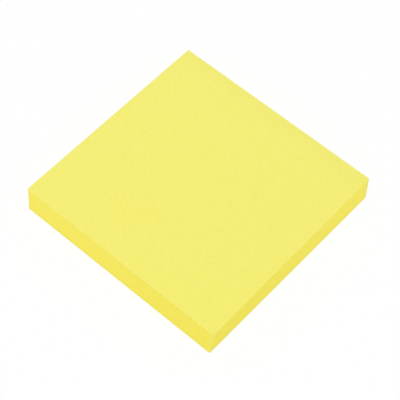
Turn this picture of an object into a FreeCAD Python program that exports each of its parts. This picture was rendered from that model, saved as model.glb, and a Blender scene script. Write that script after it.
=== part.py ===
# Pad of square sticky notes, lying flat on its backing sheet.
# Sizes are in millimetres. +Z is up and the origin is under the middle of the pad, on the surface it lies on.
# X runs along the glued edge, which is the pad's +Y side. The other three sides are free edges.
import FreeCAD, Part
import os

# Notes
note_width = 76.0  # along the glued edge
note_length = 76.0  # from the free edge opposite to the glued edge
sheet_count = 100
sheet_pitch = 0.111  # one note with its share of the air between the notes
corner_radius = 0.35  # the pad's upright corners, softened by the trimming knife and by handling

# Low-tack adhesive strip, which every note carries on its underside along the glued edge
strip_depth = 19.0  # from its edge beside the glued side to its edge inside the pad
strip_margin = 0.8  # bare paper between the strip and the glued side
strip_thickness = 0.03

# Backing sheet, which covers the lowest note's strip
backing_thickness = 0.15

# Levels of the pad, from the surface it lies on
backing_bottom = 0.0
backing_top = backing_bottom + backing_thickness
notes_bottom = backing_top + strip_thickness
notes_height = sheet_count * sheet_pitch


def trimmed_slab(bottom, height):
    """A slab with the outline that the trimming knife gives to the whole pad."""
    corner = FreeCAD.Vector(-note_width / 2, -note_length / 2, bottom)
    slab = Part.makeBox(note_width, note_length, height, corner)
    uprights = [edge for edge in slab.Edges if abs(edge.tangentAt(edge.FirstParameter).z) > 0.5]
    return slab.makeFillet(corner_radius, uprights)


def note_sheets():
    """All the notes, which their own strips hold together as one block."""
    return trimmed_slab(notes_bottom, notes_height)


def adhesive_strip():
    """The lowest note's strip: it runs from side to side, because the pad is trimmed after it is glued."""
    inner_edge = note_length / 2 - strip_margin - strip_depth
    corner = FreeCAD.Vector(-note_width / 2, inner_edge, backing_top)
    strip = Part.makeBox(note_width, strip_depth, strip_thickness, corner)
    return trimmed_slab(backing_top, strip_thickness).common(strip)


def backing_sheet():
    """The sheet under the pad, trimmed with the notes."""
    return trimmed_slab(backing_bottom, backing_thickness)


pieces = {
    "note_sheets": note_sheets(),
    "adhesive_strip": adhesive_strip(),
    "backing_sheet": backing_sheet(),
}

os.makedirs("parts", exist_ok=True)
for name, shape in pieces.items():
    shape.exportStep(f"parts/{name}.step")
    box = shape.BoundBox
    print(f"{name}: {len(shape.Solids)} solid, {box.XLength:.2f} x {box.YLength:.2f} x {box.ZLength:.2f} mm")
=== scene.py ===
# Pad of square yellow sticky notes, lying flat on its backing sheet.
# Lengths are in metres, in the pad's own frame: +Z up, +Y towards the glued side, origin under the middle.
import bpy
import math
from mathutils import Matrix, Vector


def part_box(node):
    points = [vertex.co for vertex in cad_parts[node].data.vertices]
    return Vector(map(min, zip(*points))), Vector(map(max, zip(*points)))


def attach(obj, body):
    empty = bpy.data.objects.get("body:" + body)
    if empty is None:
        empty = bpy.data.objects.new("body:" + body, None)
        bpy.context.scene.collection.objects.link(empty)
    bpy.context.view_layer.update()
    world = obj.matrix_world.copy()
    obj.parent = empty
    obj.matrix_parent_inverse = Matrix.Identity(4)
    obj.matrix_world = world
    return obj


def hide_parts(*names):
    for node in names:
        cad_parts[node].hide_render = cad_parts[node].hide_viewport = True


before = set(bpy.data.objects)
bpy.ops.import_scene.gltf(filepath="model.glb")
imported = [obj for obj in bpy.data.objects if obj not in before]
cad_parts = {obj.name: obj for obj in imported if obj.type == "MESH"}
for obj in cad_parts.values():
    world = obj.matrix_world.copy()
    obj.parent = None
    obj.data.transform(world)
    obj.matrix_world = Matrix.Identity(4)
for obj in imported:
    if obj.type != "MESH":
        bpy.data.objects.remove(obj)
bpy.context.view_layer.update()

MM = 0.001

# The pad's own solids give its sizes.
NOTES_LOW, NOTES_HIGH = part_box("note_sheets")
STRIP_LOW, STRIP_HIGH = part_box("adhesive_strip")
BACKING_LOW, BACKING_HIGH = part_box("backing_sheet")
HALF_WIDTH = NOTES_HIGH.x
HALF_LENGTH = NOTES_HIGH.y
CORNER_REACH = HALF_WIDTH + HALF_LENGTH  # the sum of x and y at a corner, both taken as positive
TOP = NOTES_HIGH.z
NOTE_COUNT = 100
CORNER_RADIUS = 0.35 * MM

# How far three corners of the foot lie from straight under the top's corners
FOOT_FRONT = Vector((-0.346, -0.278, 0.0)) * MM  # at +X and -Y
FOOT_LEFT = Vector((-0.224, 0.005, 0.0)) * MM  # at -X and -Y
FOOT_RIGHT = Vector((0.162, 0.685, 0.0)) * MM  # at +X and +Y
FOOT_MIDDLE = (FOOT_LEFT + FOOT_RIGHT) / 2

# The camera looks down on the pad from beyond its front corner, which is the one at +X and -Y.
CAMERA_AZIMUTH = 36.151  # degrees, from looking along +Y
CAMERA_ELEVATION = 56.55
CAMERA_ROLL = 5.625
CAMERA_DISTANCE = 476.78 * MM
CAMERA_TARGET = Vector((-0.4365, 1.3338, 0.0)) * MM
CAMERA_LENS = 134.165  # in millimetres, for a sensor of the next line's width
SENSOR_WIDTH = 36.0

# The lights. A share of 1 is the light under which white paper is just white.
SKY_SHARE = 0.66
KEY_SHARES = Vector((0.106, -0.147, 0.358))  # of the key lamp, on paper that faces +X, +Y and +Z
KEY_DISTANCE = 2.5
KEY_WIDTH = 1.2
FLOOR_WIDTH = 6.0
FLOOR_DROP = 0.02 * MM  # below the backing sheet
FLOOR_PAINT = (0.98, 0.98, 0.98, 1.0)
FLOOR_WHITENING = 0.9  # how far the floor, as the camera sees it, is plain white


class Field:
    """A value, vector or colour that varies over a shape. Sums on values add their Math nodes."""

    def __init__(self, graph, socket):
        self.graph = graph
        self.socket = socket

    def __add__(self, other):
        return self.graph.maths("ADD", self, other)

    def __radd__(self, other):
        return self.graph.maths("ADD", other, self)

    def __sub__(self, other):
        return self.graph.maths("SUBTRACT", self, other)

    def __rsub__(self, other):
        return self.graph.maths("SUBTRACT", other, self)

    def __mul__(self, other):
        return self.graph.maths("MULTIPLY", self, other)

    def __rmul__(self, other):
        return self.graph.maths("MULTIPLY", other, self)

    def __truediv__(self, other):
        return self.graph.maths("DIVIDE", self, other)

    def __rtruediv__(self, other):
        return self.graph.maths("DIVIDE", other, self)

    def __mod__(self, other):
        return self.graph.maths("MODULO", self, other)

    def __pow__(self, other):
        return self.graph.maths("POWER", self, other)

    def __neg__(self):
        return self.graph.maths("MULTIPLY", self, -1.0)

    def __abs__(self):
        return self.graph.maths("ABSOLUTE", self)


class Graph:
    """A tree of nodes, for one finish or for one kind of shape."""

    def __init__(self, tree):
        self.tree = tree

    def node(self, kind, settings=None, inputs=None):
        """Adds a node. Its settings come first, because they decide which sockets are open."""
        made = self.tree.nodes.new(kind)
        for name, value in (settings or {}).items():
            setattr(made, name, value)
        for name, value in (inputs or {}).items():
            self.feed(self.open_socket(made.inputs, name), value)
        return made

    def open_socket(self, sockets, name):
        """Finds an open socket by its name, or by its place among the open ones."""
        found = [socket for socket in sockets if socket.enabled]
        if isinstance(name, int):
            return found[name]
        return next(socket for socket in found if socket.name == name)

    def feed(self, socket, value):
        """Gives a socket a link or a plain value. A list is several links."""
        if isinstance(value, list):
            for one in value:
                self.feed(socket, one)
        elif isinstance(value, Field):
            self.tree.links.new(value.socket, socket)
        else:
            socket.default_value = value

    def out(self, kind, settings=None, inputs=None, output=0):
        """Adds a node and returns one of its outputs."""
        made = self.node(kind, settings, inputs)
        return Field(self, self.open_socket(made.outputs, output))

    def maths(self, operation, *values):
        return self.out("ShaderNodeMath", {"operation": operation}, dict(enumerate(values)))

    def vectors(self, operation, *values):
        return self.out("ShaderNodeVectorMath", {"operation": operation}, dict(enumerate(values)))

    def vector(self, x, y, z):
        return self.out("ShaderNodeCombineXYZ", inputs={"X": x, "Y": y, "Z": z})

    def parts(self, vector):
        """Splits a vector into its three values."""
        made = self.node("ShaderNodeSeparateXYZ", inputs={"Vector": vector})
        return [Field(self, socket) for socket in made.outputs]

    def ramp(self, value, start, end, low=0.0, high=1.0, smooth=True):
        """Runs from low to high as the value runs from start to end, and stays level beyond them."""
        settings = {"interpolation_type": "SMOOTHSTEP" if smooth else "LINEAR", "clamp": True}
        limits = {"Value": value, "From Min": start, "From Max": end, "To Min": low, "To Max": high}
        return self.out("ShaderNodeMapRange", settings, limits)

    def noise(self, place, size, detail=2.0, roughness=0.5):
        """Smooth random values about 0, mostly from -0.3 to 0.3, in blots of about the size given."""
        sockets = {"Vector": place, "Scale": 1 / size, "Detail": detail, "Roughness": roughness}
        return self.out("ShaderNodeTexNoise", inputs=sockets) - 0.5

    def blend(self, share, first, second):
        """Mixes two colours, with the given share of the second."""
        settings = {"data_type": "RGBA", "clamp_factor": True}
        return self.out("ShaderNodeMix", settings, {"Factor": share, "A": first, "B": second})


def colour(red, green, blue):
    """Turns screen levels, from 0 to 255, into an opaque colour in the renderer's own values."""
    levels = [level / 255 for level in (red, green, blue)]
    return tuple(v / 12.92 if v <= 0.04045 else ((v + 0.055) / 1.055) ** 2.4 for v in levels) + (1.0,)


# Colours of the notes' faces
FACE_DARK = colour(243.5, 236.0, 109.0)
FACE_LIGHT = colour(246.9, 240.5, 124.0)
FACE_FIBRE = colour(250, 246, 150)
# painted shade: the deeper yellow towards the front corner
FACE_SHADE_DEEP = colour(243, 236, 92)
# painted shade: the duller yellow over the squeezed, down-sloping glued side and towards +X
FACE_SHADE_DULL = colour(228, 222, 108)
FACE_HANDLED = colour(248, 235, 92)
# painted highlight along the top face's rim
FACE_RIM_HIGHLIGHT = colour(251, 244, 140)

# Colours of the notes' cut edges, which are paler at the far ends of the two front sides and carry painted
# shade that deepens them towards the front corner
EDGE_FAR_DARK = colour(243.9, 233.0, 91.5)
EDGE_FAR_LIGHT = colour(245.9, 235.0, 118.0)
# painted shade: the deeper edge colours at the front corner
EDGE_SHADED_FRONT_DARK = colour(240.7, 229.3, 83.0)
EDGE_SHADED_FRONT_LIGHT = colour(242.7, 231.3, 109.5)
# painted shade: the edges grow darker and deeper towards the bottom
EDGE_LOWER_SHADE = colour(242, 230, 72)
# painted contact shade at the foot of the edges
EDGE_FOOT_SHADE = colour(232, 214, 70)
EDGE_GLUED = colour(240, 224, 88)
# the paler upright corners: rubbed paper together with a painted highlight where the rounded corner catches
# light
EDGE_RUBBED_HIGHLIGHT = colour(232, 223, 140)

# Colours of the backing sheet, of the adhesive and of the marks on the paper
BACKING_DARK = colour(235, 220, 84)
BACKING_LIGHT = colour(241, 229, 106)
BACKING_OVER_STRIP = colour(226, 210, 88)
ADHESIVE_DOT = colour(238, 236, 206)
ADHESIVE_BETWEEN = colour(222, 214, 150)
DIRT = colour(205, 180, 86)
BRUISE = colour(226, 215, 136)
WHITE = colour(255, 255, 255)

# The blots of the patterns
CLOUD_SIZE = 1.1 * MM
FIBRE_SIZE = 0.8 * MM
FACE_GRAIN_SIZE = 0.36 * MM
EDGE_GRAIN_SIZE = 0.45 * MM
KNIFE_MARK_SIZE = 0.7 * MM
KNIFE_MARK_SQUASH = 0.06  # of the height they read, so that they run down across the sheets
# the blots and width of the paler upright corners, rubbed and with a painted highlight
WEAR_HIGHLIGHT_SIZE = 2.4 * MM
WEAR_HIGHLIGHT_WIDTH = 0.6 * MM  # from a corner inwards
ADHESIVE_DOT_SIZE = 0.33 * MM
BUMP_HEIGHT = 0.03 * MM

# Where the notes' faces change their colour
# where the painted shade towards the front corner begins
SHADE_DEEPENS_FROM = -70 * MM  # in x - y, which grows from the far corner to the front one
# how far the painted shade over the glued side reaches
GLUE_SHADE_REACH = 7.5 * MM  # in from the glued side
HANDLED_PLACE = Vector((-9.0 * MM, -21.0 * MM, TOP))
HANDLED_MIDDLE = 2 * MM
HANDLED_REACH = 13 * MM
HANDLED_RAGGED = 8 * MM  # how far the clouds push the patch's outline
# where the painted highlight along the rim lies
RIM_HIGHLIGHT_START = 0.1 * MM  # in from the face's outline
RIM_HIGHLIGHT_END = 0.7 * MM

# Where the notes' cut edges change their colour
# where the painted contact shade at the foot lies
FOOT_SHADE_START = 0.1 * MM  # above the floor
FOOT_SHADE_END = 1.1 * MM
GLUED_START = HALF_LENGTH - 0.8 * MM
GLUED_END = HALF_LENGTH - 0.2 * MM

# How soft the strip's outline is, seen through the backing sheet
STRIP_BLUR = 0.2 * MM

# Small marks on the paper: the place, the width, how strong the mark is, and its colour
FACE_MARKS = [
    (Vector((16.2 * MM, 28.5 * MM, TOP)), 0.5 * MM, 0.27, DIRT),
    (Vector((29.15 * MM, 33.9 * MM, TOP)), 0.35 * MM, 0.5, DIRT),
    (Vector((2.4 * MM, -25.4 * MM, TOP)), 2.2 * MM, 0.045, DIRT),
    (Vector((HALF_WIDTH - 0.3 * MM, 0.3 * MM - HALF_LENGTH, TOP)), 0.7 * MM, 0.35, BRUISE),
]
EDGE_MARKS = [
    (Vector((24.6 * MM, -0.2 * MM - HALF_LENGTH, 3.75 * MM)), 0.65 * MM, 0.8, BRUISE),
    (Vector((25.8 * MM, -0.15 * MM - HALF_LENGTH, 5.2 * MM)), 0.5 * MM, 0.58, DIRT),
    (Vector((HALF_WIDTH, 0.2 * MM - HALF_LENGTH, TOP)), 0.6 * MM, 0.35, BRUISE),
]


# Shapes

STACK_INPUTS = {
    "Width": "NodeSocketFloat",
    "Length": "NodeSocketFloat",
    "Corner Radius": "NodeSocketFloat",
    "Cells": "NodeSocketInt",  # of the grid that makes each face, from side to side
    "Corner Cells": "NodeSocketInt",  # of them, those that a rounded corner takes
    "Sheets": "NodeSocketInt",
    "Sheet Pitch": "NodeSocketFloat",
    "Lowest Level": "NodeSocketFloat",
    "Groove Depth": "NodeSocketFloat",  # between the sheets
    "Gap Depth": "NodeSocketFloat",  # what the deepest grooves have on top of that
    "Scatter": "NodeSocketFloat",  # of single sheets, sideways
    "Wander": "NodeSocketFloat",  # of the stack's sides, from foot to top
    "Ripple": "NodeSocketFloat",  # of the sheets, up and down
    "Glue Squeeze": "NodeSocketFloat",  # what the stack loses in height at its glued side
    "Squeeze Reach": "NodeSocketFloat",
    "Middle": "NodeSocketVector",  # of the stack, seen from above
    "Top Level": "NodeSocketFloat",  # of the whole pad, where the next three come to nothing
    "Foot Shift": "NodeSocketVector",  # of the foot's middle
    "Foot Shift Across": "NodeSocketVector",  # how much it changes from -X to +X
    "Foot Shift Along": "NodeSocketVector",  # how much it changes from -Y to +Y
    "Seed": "NodeSocketInt",
    "Face Finish": "NodeSocketMaterial",
    "Edge Finish": "NodeSocketMaterial",
}
WANDER_SHEETS = 12  # over how many sheets a side wanders out and back
RIPPLE_WIDTH = 16 * MM
WELD_DISTANCE = 0.001 * MM
SHARP_ANGLE = math.radians(40)


def moved(graph, shape, offset):
    return graph.out("GeometryNodeSetPosition", inputs={"Geometry": shape, "Offset": offset})


def stored(graph, shape, name, kind, value):
    """Keeps a value for each of the shape's faces, which a finish or a later step can read."""
    inputs = {"Geometry": shape, "Name": name, "Value": value}
    return graph.out("GeometryNodeStoreNamedAttribute", {"data_type": kind, "domain": "FACE"}, inputs)


def random_value(graph, kind, number, seed, **limits):
    """A random value, or vector, that goes with a whole number such as a sheet's."""
    inputs = {"ID": number, "Seed": seed, **limits}
    return graph.out("FunctionNodeRandomValue", {"data_type": kind}, inputs)


def flat_face(graph, size):
    """A flat sheet with rounded corners: a grid whose outer cells are bent round the corners."""
    # The grid first runs from -1 to 1, both ways.
    across = size["Cells"] + 1
    corners = {"Size X": 2.0, "Size Y": 2.0, "Vertices X": across, "Vertices Y": across}
    grid = graph.out("GeometryNodeMeshGrid", inputs=corners)
    x, y, _ = graph.parts(graph.out("GeometryNodeInputPosition"))
    straight = 1 - size["Corner Cells"] * 2 / size["Cells"]
    radius = size["Corner Radius"]
    turn_x = graph.ramp(abs(x), straight, 1.0, smooth=False)
    turn_y = graph.ramp(abs(y), straight, 1.0, smooth=False)
    run_x = graph.ramp(abs(x), 0.0, straight, smooth=False)
    run_y = graph.ramp(abs(y), 0.0, straight, smooth=False)
    reach_x = run_x * (size["Width"] / 2 - size["Groove Depth"] - radius)
    reach_y = run_y * (size["Length"] / 2 - size["Groove Depth"] - radius)
    round_x = radius * turn_x * (1 - turn_y * turn_y / 2) ** 0.5
    round_y = radius * turn_y * (1 - turn_x * turn_x / 2) ** 0.5
    place_x = graph.maths("SIGN", x) * (reach_x + round_x)
    place_y = graph.maths("SIGN", y) * (reach_y + round_y)
    place = graph.vector(place_x, place_y, 0.0)
    return graph.out("GeometryNodeSetPosition", inputs={"Geometry": grid, "Position": place})


def ridged_wall(graph, face, size):
    """The stack's sides, along the face's outline, with a ridge for each sheet's edge."""
    beside = graph.out("GeometryNodeInputMeshEdgeNeighbors")
    equal = {"data_type": "INT", "operation": "EQUAL"}
    rim = graph.out("FunctionNodeCompare", equal, {"A": beside, "B": 1})
    outline = graph.out("GeometryNodeMeshToCurve", inputs={"Mesh": face, "Selection": rim})
    outline = graph.out("GeometryNodeSetCurveNormal", {"mode": "Z_UP"}, {"Curve": outline})
    # Along this outline, a profile's own X points inwards and its Y points down.
    line = {"mode": "OFFSET", "count_mode": "TOTAL"}
    step = {"Count": size["Sheets"] * 2 + 1, "Offset": graph.vector(0.0, size["Sheet Pitch"] / -2, 0.0)}
    levels = graph.out("GeometryNodeMeshLine", line, step)
    ridge = graph.out("GeometryNodeInputIndex") % 2 * size["Groove Depth"]
    profile = moved(graph, levels, graph.vector(-ridge, 0.0, 0.0))
    profile = graph.out("GeometryNodeMeshToCurve", inputs={"Mesh": profile})
    wall = graph.out("GeometryNodeCurveToMesh", inputs={"Curve": outline, "Profile Curve": profile})
    return stored(graph, wall, "cut", "BOOLEAN", True)


def closed_block(graph, face, wall, size):
    """Joins the wall, the face below it and the same face above it into one closed shape."""
    rise = graph.vector(0.0, 0.0, size["Sheets"] * size["Sheet Pitch"])
    top = graph.out("GeometryNodeTransform", inputs={"Geometry": face, "Translation": rise})
    underside = graph.out("GeometryNodeFlipFaces", inputs={"Mesh": face})
    block = graph.out("GeometryNodeJoinGeometry", inputs={"Geometry": [top, underside, wall]})
    return graph.out("GeometryNodeMergeByDistance", inputs={"Geometry": block, "Distance": WELD_DISTANCE})


def uneven_sheets(graph, block, size):
    """Gives each sheet its own tone and its own small shift, opens some gaps, and lets the sides wander."""
    x, y, z = graph.parts(graph.out("GeometryNodeInputPosition"))
    level = z / size["Sheet Pitch"]
    sheet = graph.maths("FLOOR", level)
    seed = size["Seed"]
    block = stored(graph, block, "sheet_tone", "FLOAT", random_value(graph, "FLOAT", sheet, seed))

    # 1 on each sheet's ridge, and 0 in the grooves above and below it
    on_ridge = graph.ramp(abs(level - sheet - 0.5), 0.1, 0.2, 1.0, 0.0)
    sideways = {"Min": (-1.0, -1.0, 0.0), "Max": (1.0, 1.0, 0.0)}
    shift = random_value(graph, "FLOAT_VECTOR", sheet, seed + 1, **sideways)
    shift = graph.vectors("SCALE", shift, on_ridge * size["Scatter"])

    # The cube keeps most grooves shallow and opens a few.
    groove = graph.maths("ROUND", level)
    openness = random_value(graph, "FLOAT", groove, seed + 2) ** 3
    inwards = openness * size["Gap Depth"] * (on_ridge - 1)
    gap = graph.vector(x / size["Width"] * 2 * inwards, y / size["Length"] * 2 * inwards, 0.0)

    height = graph.vector(level / WANDER_SHEETS, seed, 0.0)
    drift = graph.vector(graph.noise(height, 1.0), graph.noise(height, 0.77), 0.0)
    drift = graph.vectors("SCALE", drift, size["Wander"] * 2)
    return moved(graph, block, graph.vectors("ADD", graph.vectors("ADD", shift, gap), drift))


def settled(graph, block, size):
    """Ripples the sheets between the two faces, squeezes the glued side and sets the stack in its place."""
    place = graph.out("GeometryNodeInputPosition")
    _, y, z = graph.parts(place)
    share = z / (size["Sheets"] * size["Sheet Pitch"])
    ripple = graph.noise(place, RIPPLE_WIDTH, 1.0) * size["Ripple"] * 2 * (4 * share * (1 - share))
    glued = graph.ramp(y, size["Length"] / 2 - size["Squeeze Reach"], size["Length"] / 2)
    rise = ripple - glued * size["Glue Squeeze"] * share + size["Lowest Level"]
    return moved(graph, block, graph.vectors("ADD", graph.vector(0.0, 0.0, rise), size["Middle"]))


def leaning(graph, block, size):
    """Shifts the sheets a little, the more the lower they lie, and each corner in its own way."""
    x, y, z = graph.parts(graph.out("GeometryNodeInputPosition"))
    across = graph.vectors("SCALE", size["Foot Shift Across"], x / (HALF_WIDTH * 2))
    along = graph.vectors("SCALE", size["Foot Shift Along"], y / (HALF_LENGTH * 2))
    at_foot = graph.vectors("ADD", graph.vectors("ADD", across, along), size["Foot Shift"])
    depth = 1 - z / size["Top Level"]
    return moved(graph, block, graph.vectors("SCALE", at_foot, depth))


def sheet_stack_tree():
    """A stack of trimmed sheets, as one closed shape."""
    graph = Graph(bpy.data.node_groups.new("stack of trimmed sheets", "GeometryNodeTree"))
    for name, kind in STACK_INPUTS.items():
        graph.tree.interface.new_socket(name, in_out="INPUT", socket_type=kind)
    graph.tree.interface.new_socket("Stack", in_out="OUTPUT", socket_type="NodeSocketGeometry")
    size = {socket.name: Field(graph, socket) for socket in graph.node("NodeGroupInput").outputs}

    face = flat_face(graph, size)
    wall = ridged_wall(graph, face, size)
    block = closed_block(graph, face, wall, size)
    block = uneven_sheets(graph, block, size)
    block = settled(graph, block, size)
    block = leaning(graph, block, size)

    cut = graph.out("GeometryNodeInputNamedAttribute", {"data_type": "BOOLEAN"}, {"Name": "cut"})
    block = graph.out("GeometryNodeRealizeInstances", inputs={"Geometry": block})
    faces = {"Geometry": block, "Material": size["Face Finish"]}
    block = graph.out("GeometryNodeSetMaterial", inputs=faces)
    sides = {"Geometry": block, "Selection": cut, "Material": size["Edge Finish"]}
    block = graph.out("GeometryNodeSetMaterial", inputs=sides)
    graph.node("NodeGroupOutput", inputs={"Stack": block})
    return graph.tree


def shaped_piece(name, tree, sizes):
    """Makes a plain mesh with a tree of geometry nodes, whose inputs are set before it first runs."""
    blank = bpy.data.meshes.new("blank")
    piece = bpy.data.objects.new(name, blank)
    bpy.context.scene.collection.objects.link(piece)
    modifier = piece.modifiers.new("shape", "NODES")
    modifier.node_group = tree
    for socket in tree.interface.items_tree:
        if socket.in_out == "INPUT":
            modifier[socket.identifier] = sizes[socket.name]
    bpy.context.view_layer.update()
    drawn = piece.evaluated_get(bpy.context.evaluated_depsgraph_get())
    mesh = bpy.data.meshes.new_from_object(drawn)
    piece.modifiers.clear()
    piece.data = mesh
    bpy.data.meshes.remove(blank)
    mesh.name = name
    # A tree that makes its mesh from nothing leaves the first material slot empty.
    if mesh.materials[0] is None:
        mesh.materials.pop(index=0)
    mesh.shade_smooth()
    mesh.set_sharp_from_angle(angle=SHARP_ANGLE)
    return piece


# Finishes

def new_finish(name):
    """Starts a material. Returns it with its graph and the place on the piece that a pattern reads."""
    material = bpy.data.materials.new(name)
    material.use_nodes = True
    material.node_tree.nodes.clear()
    graph = Graph(material.node_tree)
    return material, graph, graph.out("ShaderNodeTexCoord", output="Object")


def end_finish(graph, base, roughness, gloss, height, relief):
    """Ends a material with one surface. Relief is how strong its bumps look."""
    bump = graph.out("ShaderNodeBump", inputs={"Strength": relief, "Distance": BUMP_HEIGHT, "Height": height})
    look = {"Base Color": base, "Roughness": roughness, "Specular IOR Level": gloss, "Normal": bump}
    surface = graph.out("ShaderNodeBsdfPrincipled", inputs=look)
    graph.node("ShaderNodeOutputMaterial", inputs={"Surface": surface})


def marked(graph, place, paper, marks):
    """Puts the small marks on the paper."""
    for middle, width, strength, tint in marks:
        away = graph.vectors("DISTANCE", place, middle)
        paper = graph.blend(graph.ramp(away, 0.0, width, strength, 0.0), paper, tint)
    return paper


def note_face_finish():
    """The notes' uncoated yellow paper."""
    material, graph, place = new_finish("note_face")
    x, y, _ = graph.parts(place)

    clouds = graph.noise(place, CLOUD_SIZE, 3.0)
    grain = graph.noise(place, FACE_GRAIN_SIZE, 2.0)
    fibres = graph.ramp(abs(graph.noise(place, FIBRE_SIZE, 4.0, 0.6)), 0.0, 0.04, 1.0, 0.0)
    paper = graph.blend(0.5 + clouds * 1.8 + grain * 3.6, FACE_DARK, FACE_LIGHT)
    paper = graph.blend(fibres * 0.15, paper, FACE_FIBRE)

    # Painted shade: towards the front corner the yellow is deeper, and towards the glued side and +X it is
    # duller.
    shade_towards_front = graph.ramp(x - y, SHADE_DEEPENS_FROM, CORNER_REACH, -0.09, 0.18, smooth=False)
    paper = graph.blend(shade_towards_front, paper, FACE_SHADE_DEEP)
    # painted shade where the squeezed glued side slopes away from the light, and a painted falloff towards +X
    shade_over_glue = graph.ramp(y, HALF_LENGTH - GLUE_SHADE_REACH, HALF_LENGTH, 0.0, 0.1)
    shade_towards_side = graph.ramp(x, -HALF_WIDTH, HALF_WIDTH, 0.0, 0.08, smooth=False)
    paper = graph.blend(shade_over_glue + shade_towards_side, paper, FACE_SHADE_DULL)

    # The top note was handled: it has a faint warm patch and a few marks. Its paler rim is a painted
    # highlight, where the top note's edge catches the light.
    from_patch = graph.vectors("DISTANCE", place, HANDLED_PLACE) + clouds * HANDLED_RAGGED
    handled = graph.ramp(from_patch, HANDLED_MIDDLE, HANDLED_REACH, 0.1, 0.0)
    paper = graph.blend(handled, paper, FACE_HANDLED)
    from_rim = graph.maths("MINIMUM", HALF_WIDTH - abs(x), HALF_LENGTH - abs(y))
    # painted highlight: a paler band just inside the outline
    rim = graph.ramp(from_rim, RIM_HIGHLIGHT_START, RIM_HIGHLIGHT_END, 0.12, 0.0)
    paper = graph.blend(rim, paper, FACE_RIM_HIGHLIGHT)
    base = marked(graph, place, paper, FACE_MARKS)

    end_finish(graph, base, 0.85 + clouds * 0.2, 0.3, grain + clouds + fibres * 0.4, 0.4)
    return material


def note_edge_finish():
    """The notes' cut edges: a tone for each sheet, knife marks across them, rubbed corners that also carry a
    painted highlight, and painted shade towards the front corner and the foot.
    """
    material, graph, place = new_finish("note_edge")
    x, y, z = graph.parts(place)

    tone = graph.out("ShaderNodeAttribute", {"attribute_name": "sheet_tone"}, output="Fac") - 0.5
    knife = graph.noise(graph.vector(x, y, z * KNIFE_MARK_SQUASH), KNIFE_MARK_SIZE, 3.0)
    grain = graph.noise(place, EDGE_GRAIN_SIZE, 2.0)
    uneven = 0.5 + tone * 0.3 + knife * 0.5 + grain * 2.6
    far = graph.blend(uneven, EDGE_FAR_DARK, EDGE_FAR_LIGHT)
    # painted shade, deepening the edges towards the front corner
    front = graph.blend(uneven, EDGE_SHADED_FRONT_DARK, EDGE_SHADED_FRONT_LIGHT)
    shade_towards_front = graph.ramp(x - y, 0.0, CORNER_REACH, smooth=False)
    paper = graph.blend(shade_towards_front, far, front)

    # painted shade, growing towards the bottom of the stack
    lower = graph.ramp(z, 0.0, TOP, 0.14, 0.0, smooth=False)
    paper = graph.blend(lower, paper, EDGE_LOWER_SHADE)
    # painted contact shade, where the stack meets the floor
    at_foot = graph.ramp(z, FOOT_SHADE_START, FOOT_SHADE_END, 0.38, 0.0)
    paper = graph.blend(at_foot, paper, EDGE_FOOT_SHADE)
    glued = graph.ramp(y, GLUED_START, GLUED_END)
    paper = graph.blend(glued * 0.35, paper, EDGE_GLUED)

    # paler upright corners: partly rubbed paper, partly a painted highlight along the rounded corner
    wear_and_highlight = graph.noise(graph.vector(0.0, 0.0, z), WEAR_HIGHLIGHT_SIZE, 3.0)
    past_corner = abs(x) + abs(y) - CORNER_REACH + (wear_and_highlight + grain * 0.5) * WEAR_HIGHLIGHT_WIDTH
    rubbed = graph.ramp(past_corner, -WEAR_HIGHLIGHT_WIDTH, WEAR_HIGHLIGHT_WIDTH / -2) * (0.42 + wear_and_highlight * 0.5)
    paper = graph.blend(rubbed, paper, EDGE_RUBBED_HIGHLIGHT)
    base = marked(graph, place, paper, EDGE_MARKS)

    end_finish(graph, base, 0.92 - glued * 0.3, 0.2, knife * 0.6 + grain, 0.15)
    return material


def backing_finish():
    """The backing sheet's slightly waxy paper, with the strip showing through a little."""
    material, graph, place = new_finish("backing_face")
    _, y, _ = graph.parts(place)
    clouds = graph.noise(place, CLOUD_SIZE, 3.0)
    grain = graph.noise(place, FACE_GRAIN_SIZE, 2.0)
    paper = graph.blend(0.5 + clouds * 1.5 + grain, BACKING_DARK, BACKING_LIGHT)
    strip_y = y - FOOT_MIDDLE.y
    inside_strip = graph.maths("MINIMUM", strip_y - STRIP_LOW.y, STRIP_HIGH.y - strip_y)
    strip = graph.ramp(inside_strip + clouds * STRIP_BLUR, -STRIP_BLUR, STRIP_BLUR)
    base = graph.blend(strip * 0.3, paper, BACKING_OVER_STRIP)
    end_finish(graph, base, 0.5 + clouds * 0.2, 0.4, clouds + grain, 0.2)
    return material


def adhesive_finish():
    """The strip's dried, milky dots."""
    material, graph, place = new_finish("dried_adhesive")
    cells = {"Vector": place, "Scale": 1 / ADHESIVE_DOT_SIZE}
    from_dot = graph.out("ShaderNodeTexVoronoi", inputs=cells, output="Distance")
    base = graph.blend(from_dot, ADHESIVE_DOT, ADHESIVE_BETWEEN)
    end_finish(graph, base, 0.35 + from_dot * 0.2, 0.5, 1 - from_dot, 0.3)
    return material


# Surroundings

def seen_plainly(graph):
    """1 for what the camera sees directly, in a mirror or through glass, and 0 for what only gives light."""
    rays = graph.node("ShaderNodeLightPath").outputs
    direct = Field(graph, rays["Is Camera Ray"])
    mirrored = Field(graph, rays["Is Glossy Ray"])
    through_glass = Field(graph, rays["Is Transmission Ray"])
    return direct + mirrored + through_glass


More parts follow.
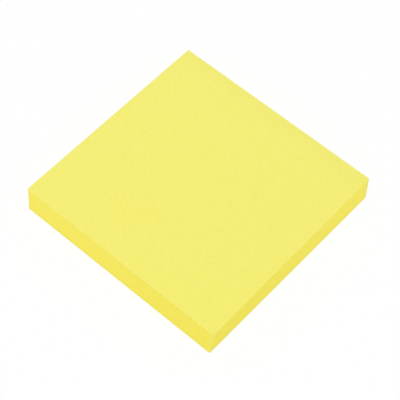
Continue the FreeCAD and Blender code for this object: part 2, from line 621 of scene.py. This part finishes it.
def white_floor():
    """A large floor just under the pad, which shows as nearly plain white and keeps a faint shadow."""
    half = FLOOR_WIDTH / 2
    level = BACKING_LOW.z - FLOOR_DROP
    corners = [(-half, -half, level), (half, -half, level), (half, half, level), (-half, half, level)]
    mesh = bpy.data.meshes.new("floor")
    mesh.from_pydata(corners, [], [(0, 1, 2, 3)])
    floor = bpy.data.objects.new("floor", mesh)
    bpy.context.scene.collection.objects.link(floor)
    material, graph, place = new_finish("white_floor")
    paint = graph.out("ShaderNodeBsdfDiffuse", inputs={"Color": FLOOR_PAINT})
    white = graph.out("ShaderNodeEmission", inputs={"Color": WHITE, "Strength": 1.0})
    share = seen_plainly(graph) * FLOOR_WHITENING
    surface = graph.out("ShaderNodeMixShader", inputs={0: share, 1: paint, 2: white})
    graph.node("ShaderNodeOutputMaterial", inputs={"Surface": surface})
    mesh.materials.append(material)


def white_sky():
    """Even light from all round, from a sky that shows as plain white."""
    world = bpy.data.worlds.new("sky")
    world.use_nodes = True
    world.node_tree.nodes.clear()
    graph = Graph(world.node_tree)
    level = seen_plainly(graph) * (1 - SKY_SHARE) + SKY_SHARE
    light = graph.out("ShaderNodeBackground", inputs={"Color": WHITE, "Strength": level})
    graph.node("ShaderNodeOutputWorld", inputs={"Surface": light})
    bpy.context.scene.world = world


def key_lamp():
    """A large square soft box that faces the pad."""
    lamp = bpy.data.lights.new("key", "AREA")
    lamp.size = KEY_WIDTH
    # White paper that faces the lamp is just white under this many watts for a share of 1.
    lamp.energy = KEY_SHARES.length * (math.pi * KEY_DISTANCE) ** 2
    box = bpy.data.objects.new("key", lamp)
    away = KEY_SHARES.normalized()
    turn = (-away).to_track_quat("-Z", "Y").to_matrix().to_4x4()
    box.matrix_world = Matrix.Translation(away * KEY_DISTANCE) @ turn
    bpy.context.scene.collection.objects.link(box)


def camera():
    """The camera, with the picture's own axes worked out from its azimuth, elevation and roll."""
    azimuth = math.radians(CAMERA_AZIMUTH)
    elevation = math.radians(CAMERA_ELEVATION)
    roll = math.radians(CAMERA_ROLL)
    outwards = Vector((math.sin(azimuth), -math.cos(azimuth), 0.0))
    back = outwards * math.cos(elevation) + Vector((0.0, 0.0, math.sin(elevation)))
    level_right = Vector((math.cos(azimuth), math.sin(azimuth), 0.0))
    right = level_right * math.cos(roll) + back.cross(level_right) * math.sin(roll)
    turn = Matrix((right, back.cross(right), back)).transposed().to_4x4()
    lens = bpy.data.cameras.new("camera")
    lens.lens = CAMERA_LENS
    lens.sensor_width = SENSOR_WIDTH
    viewer = bpy.data.objects.new("camera", lens)
    viewer.matrix_world = Matrix.Translation(CAMERA_TARGET + back * CAMERA_DISTANCE) @ turn
    bpy.context.scene.collection.objects.link(viewer)
    bpy.context.scene.camera = viewer


# The pad's pieces

def stack_sizes(low, high, sheets):
    """The sizes of a stack of plain sheets that fills a solid's box."""
    return {
        "Width": high.x - low.x,
        "Length": high.y - low.y,
        "Corner Radius": CORNER_RADIUS,
        "Cells": 26,
        "Corner Cells": 3,
        "Sheets": sheets,
        "Sheet Pitch": (high.z - low.z) / sheets,
        "Lowest Level": low.z,
        "Groove Depth": 0.02 * MM,
        "Gap Depth": 0.0,
        "Scatter": 0.0,
        "Wander": 0.0,
        "Ripple": 0.0,
        "Glue Squeeze": 0.0,
        "Squeeze Reach": 9.0 * MM,
        "Middle": Vector((low.x + high.x, low.y + high.y, 0.0)) / 2,
        "Top Level": TOP,
        "Foot Shift": FOOT_MIDDLE,
        "Foot Shift Across": FOOT_FRONT - FOOT_LEFT,
        "Foot Shift Along": FOOT_RIGHT - FOOT_FRONT,
        "Seed": 7,
    }


def notes(tree):
    """The block of notes: a ridge for each note's edge, and a slightly lower glued side."""
    sizes = stack_sizes(NOTES_LOW, NOTES_HIGH, NOTE_COUNT)
    sizes["Groove Depth"] = 0.03 * MM
    sizes["Gap Depth"] = 0.05 * MM
    sizes["Scatter"] = 0.01 * MM
    sizes["Wander"] = 0.03 * MM
    sizes["Ripple"] = 0.03 * MM
    sizes["Glue Squeeze"] = 0.1 * MM
    sizes["Face Finish"] = note_face_finish()
    sizes["Edge Finish"] = note_edge_finish()
    piece = shaped_piece("notes", tree, sizes)
    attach(piece, "root")
    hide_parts("note_sheets")


def backing(tree):
    """The backing sheet: one plain sheet, trimmed with the notes."""
    sizes = stack_sizes(BACKING_LOW, BACKING_HIGH, 1)
    sizes["Face Finish"] = backing_finish()
    sizes["Edge Finish"] = sizes["Face Finish"]
    piece = shaped_piece("backing", tree, sizes)
    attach(piece, "root")
    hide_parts("backing_sheet")


def adhesive(tree):
    """The thin strip of glue between the lowest note and the backing sheet."""
    sizes = stack_sizes(STRIP_LOW, STRIP_HIGH, 1)
    sizes["Groove Depth"] = 0.004 * MM
    sizes["Face Finish"] = adhesive_finish()
    sizes["Edge Finish"] = sizes["Face Finish"]
    piece = shaped_piece("adhesive", tree, sizes)
    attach(piece, "root")
    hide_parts("adhesive_strip")


sheet_stack = sheet_stack_tree()
notes(sheet_stack)
backing(sheet_stack)
adhesive(sheet_stack)

white_floor()
white_sky()
key_lamp()
camera()
bpy.context.scene.view_settings.view_transform = "Standard"
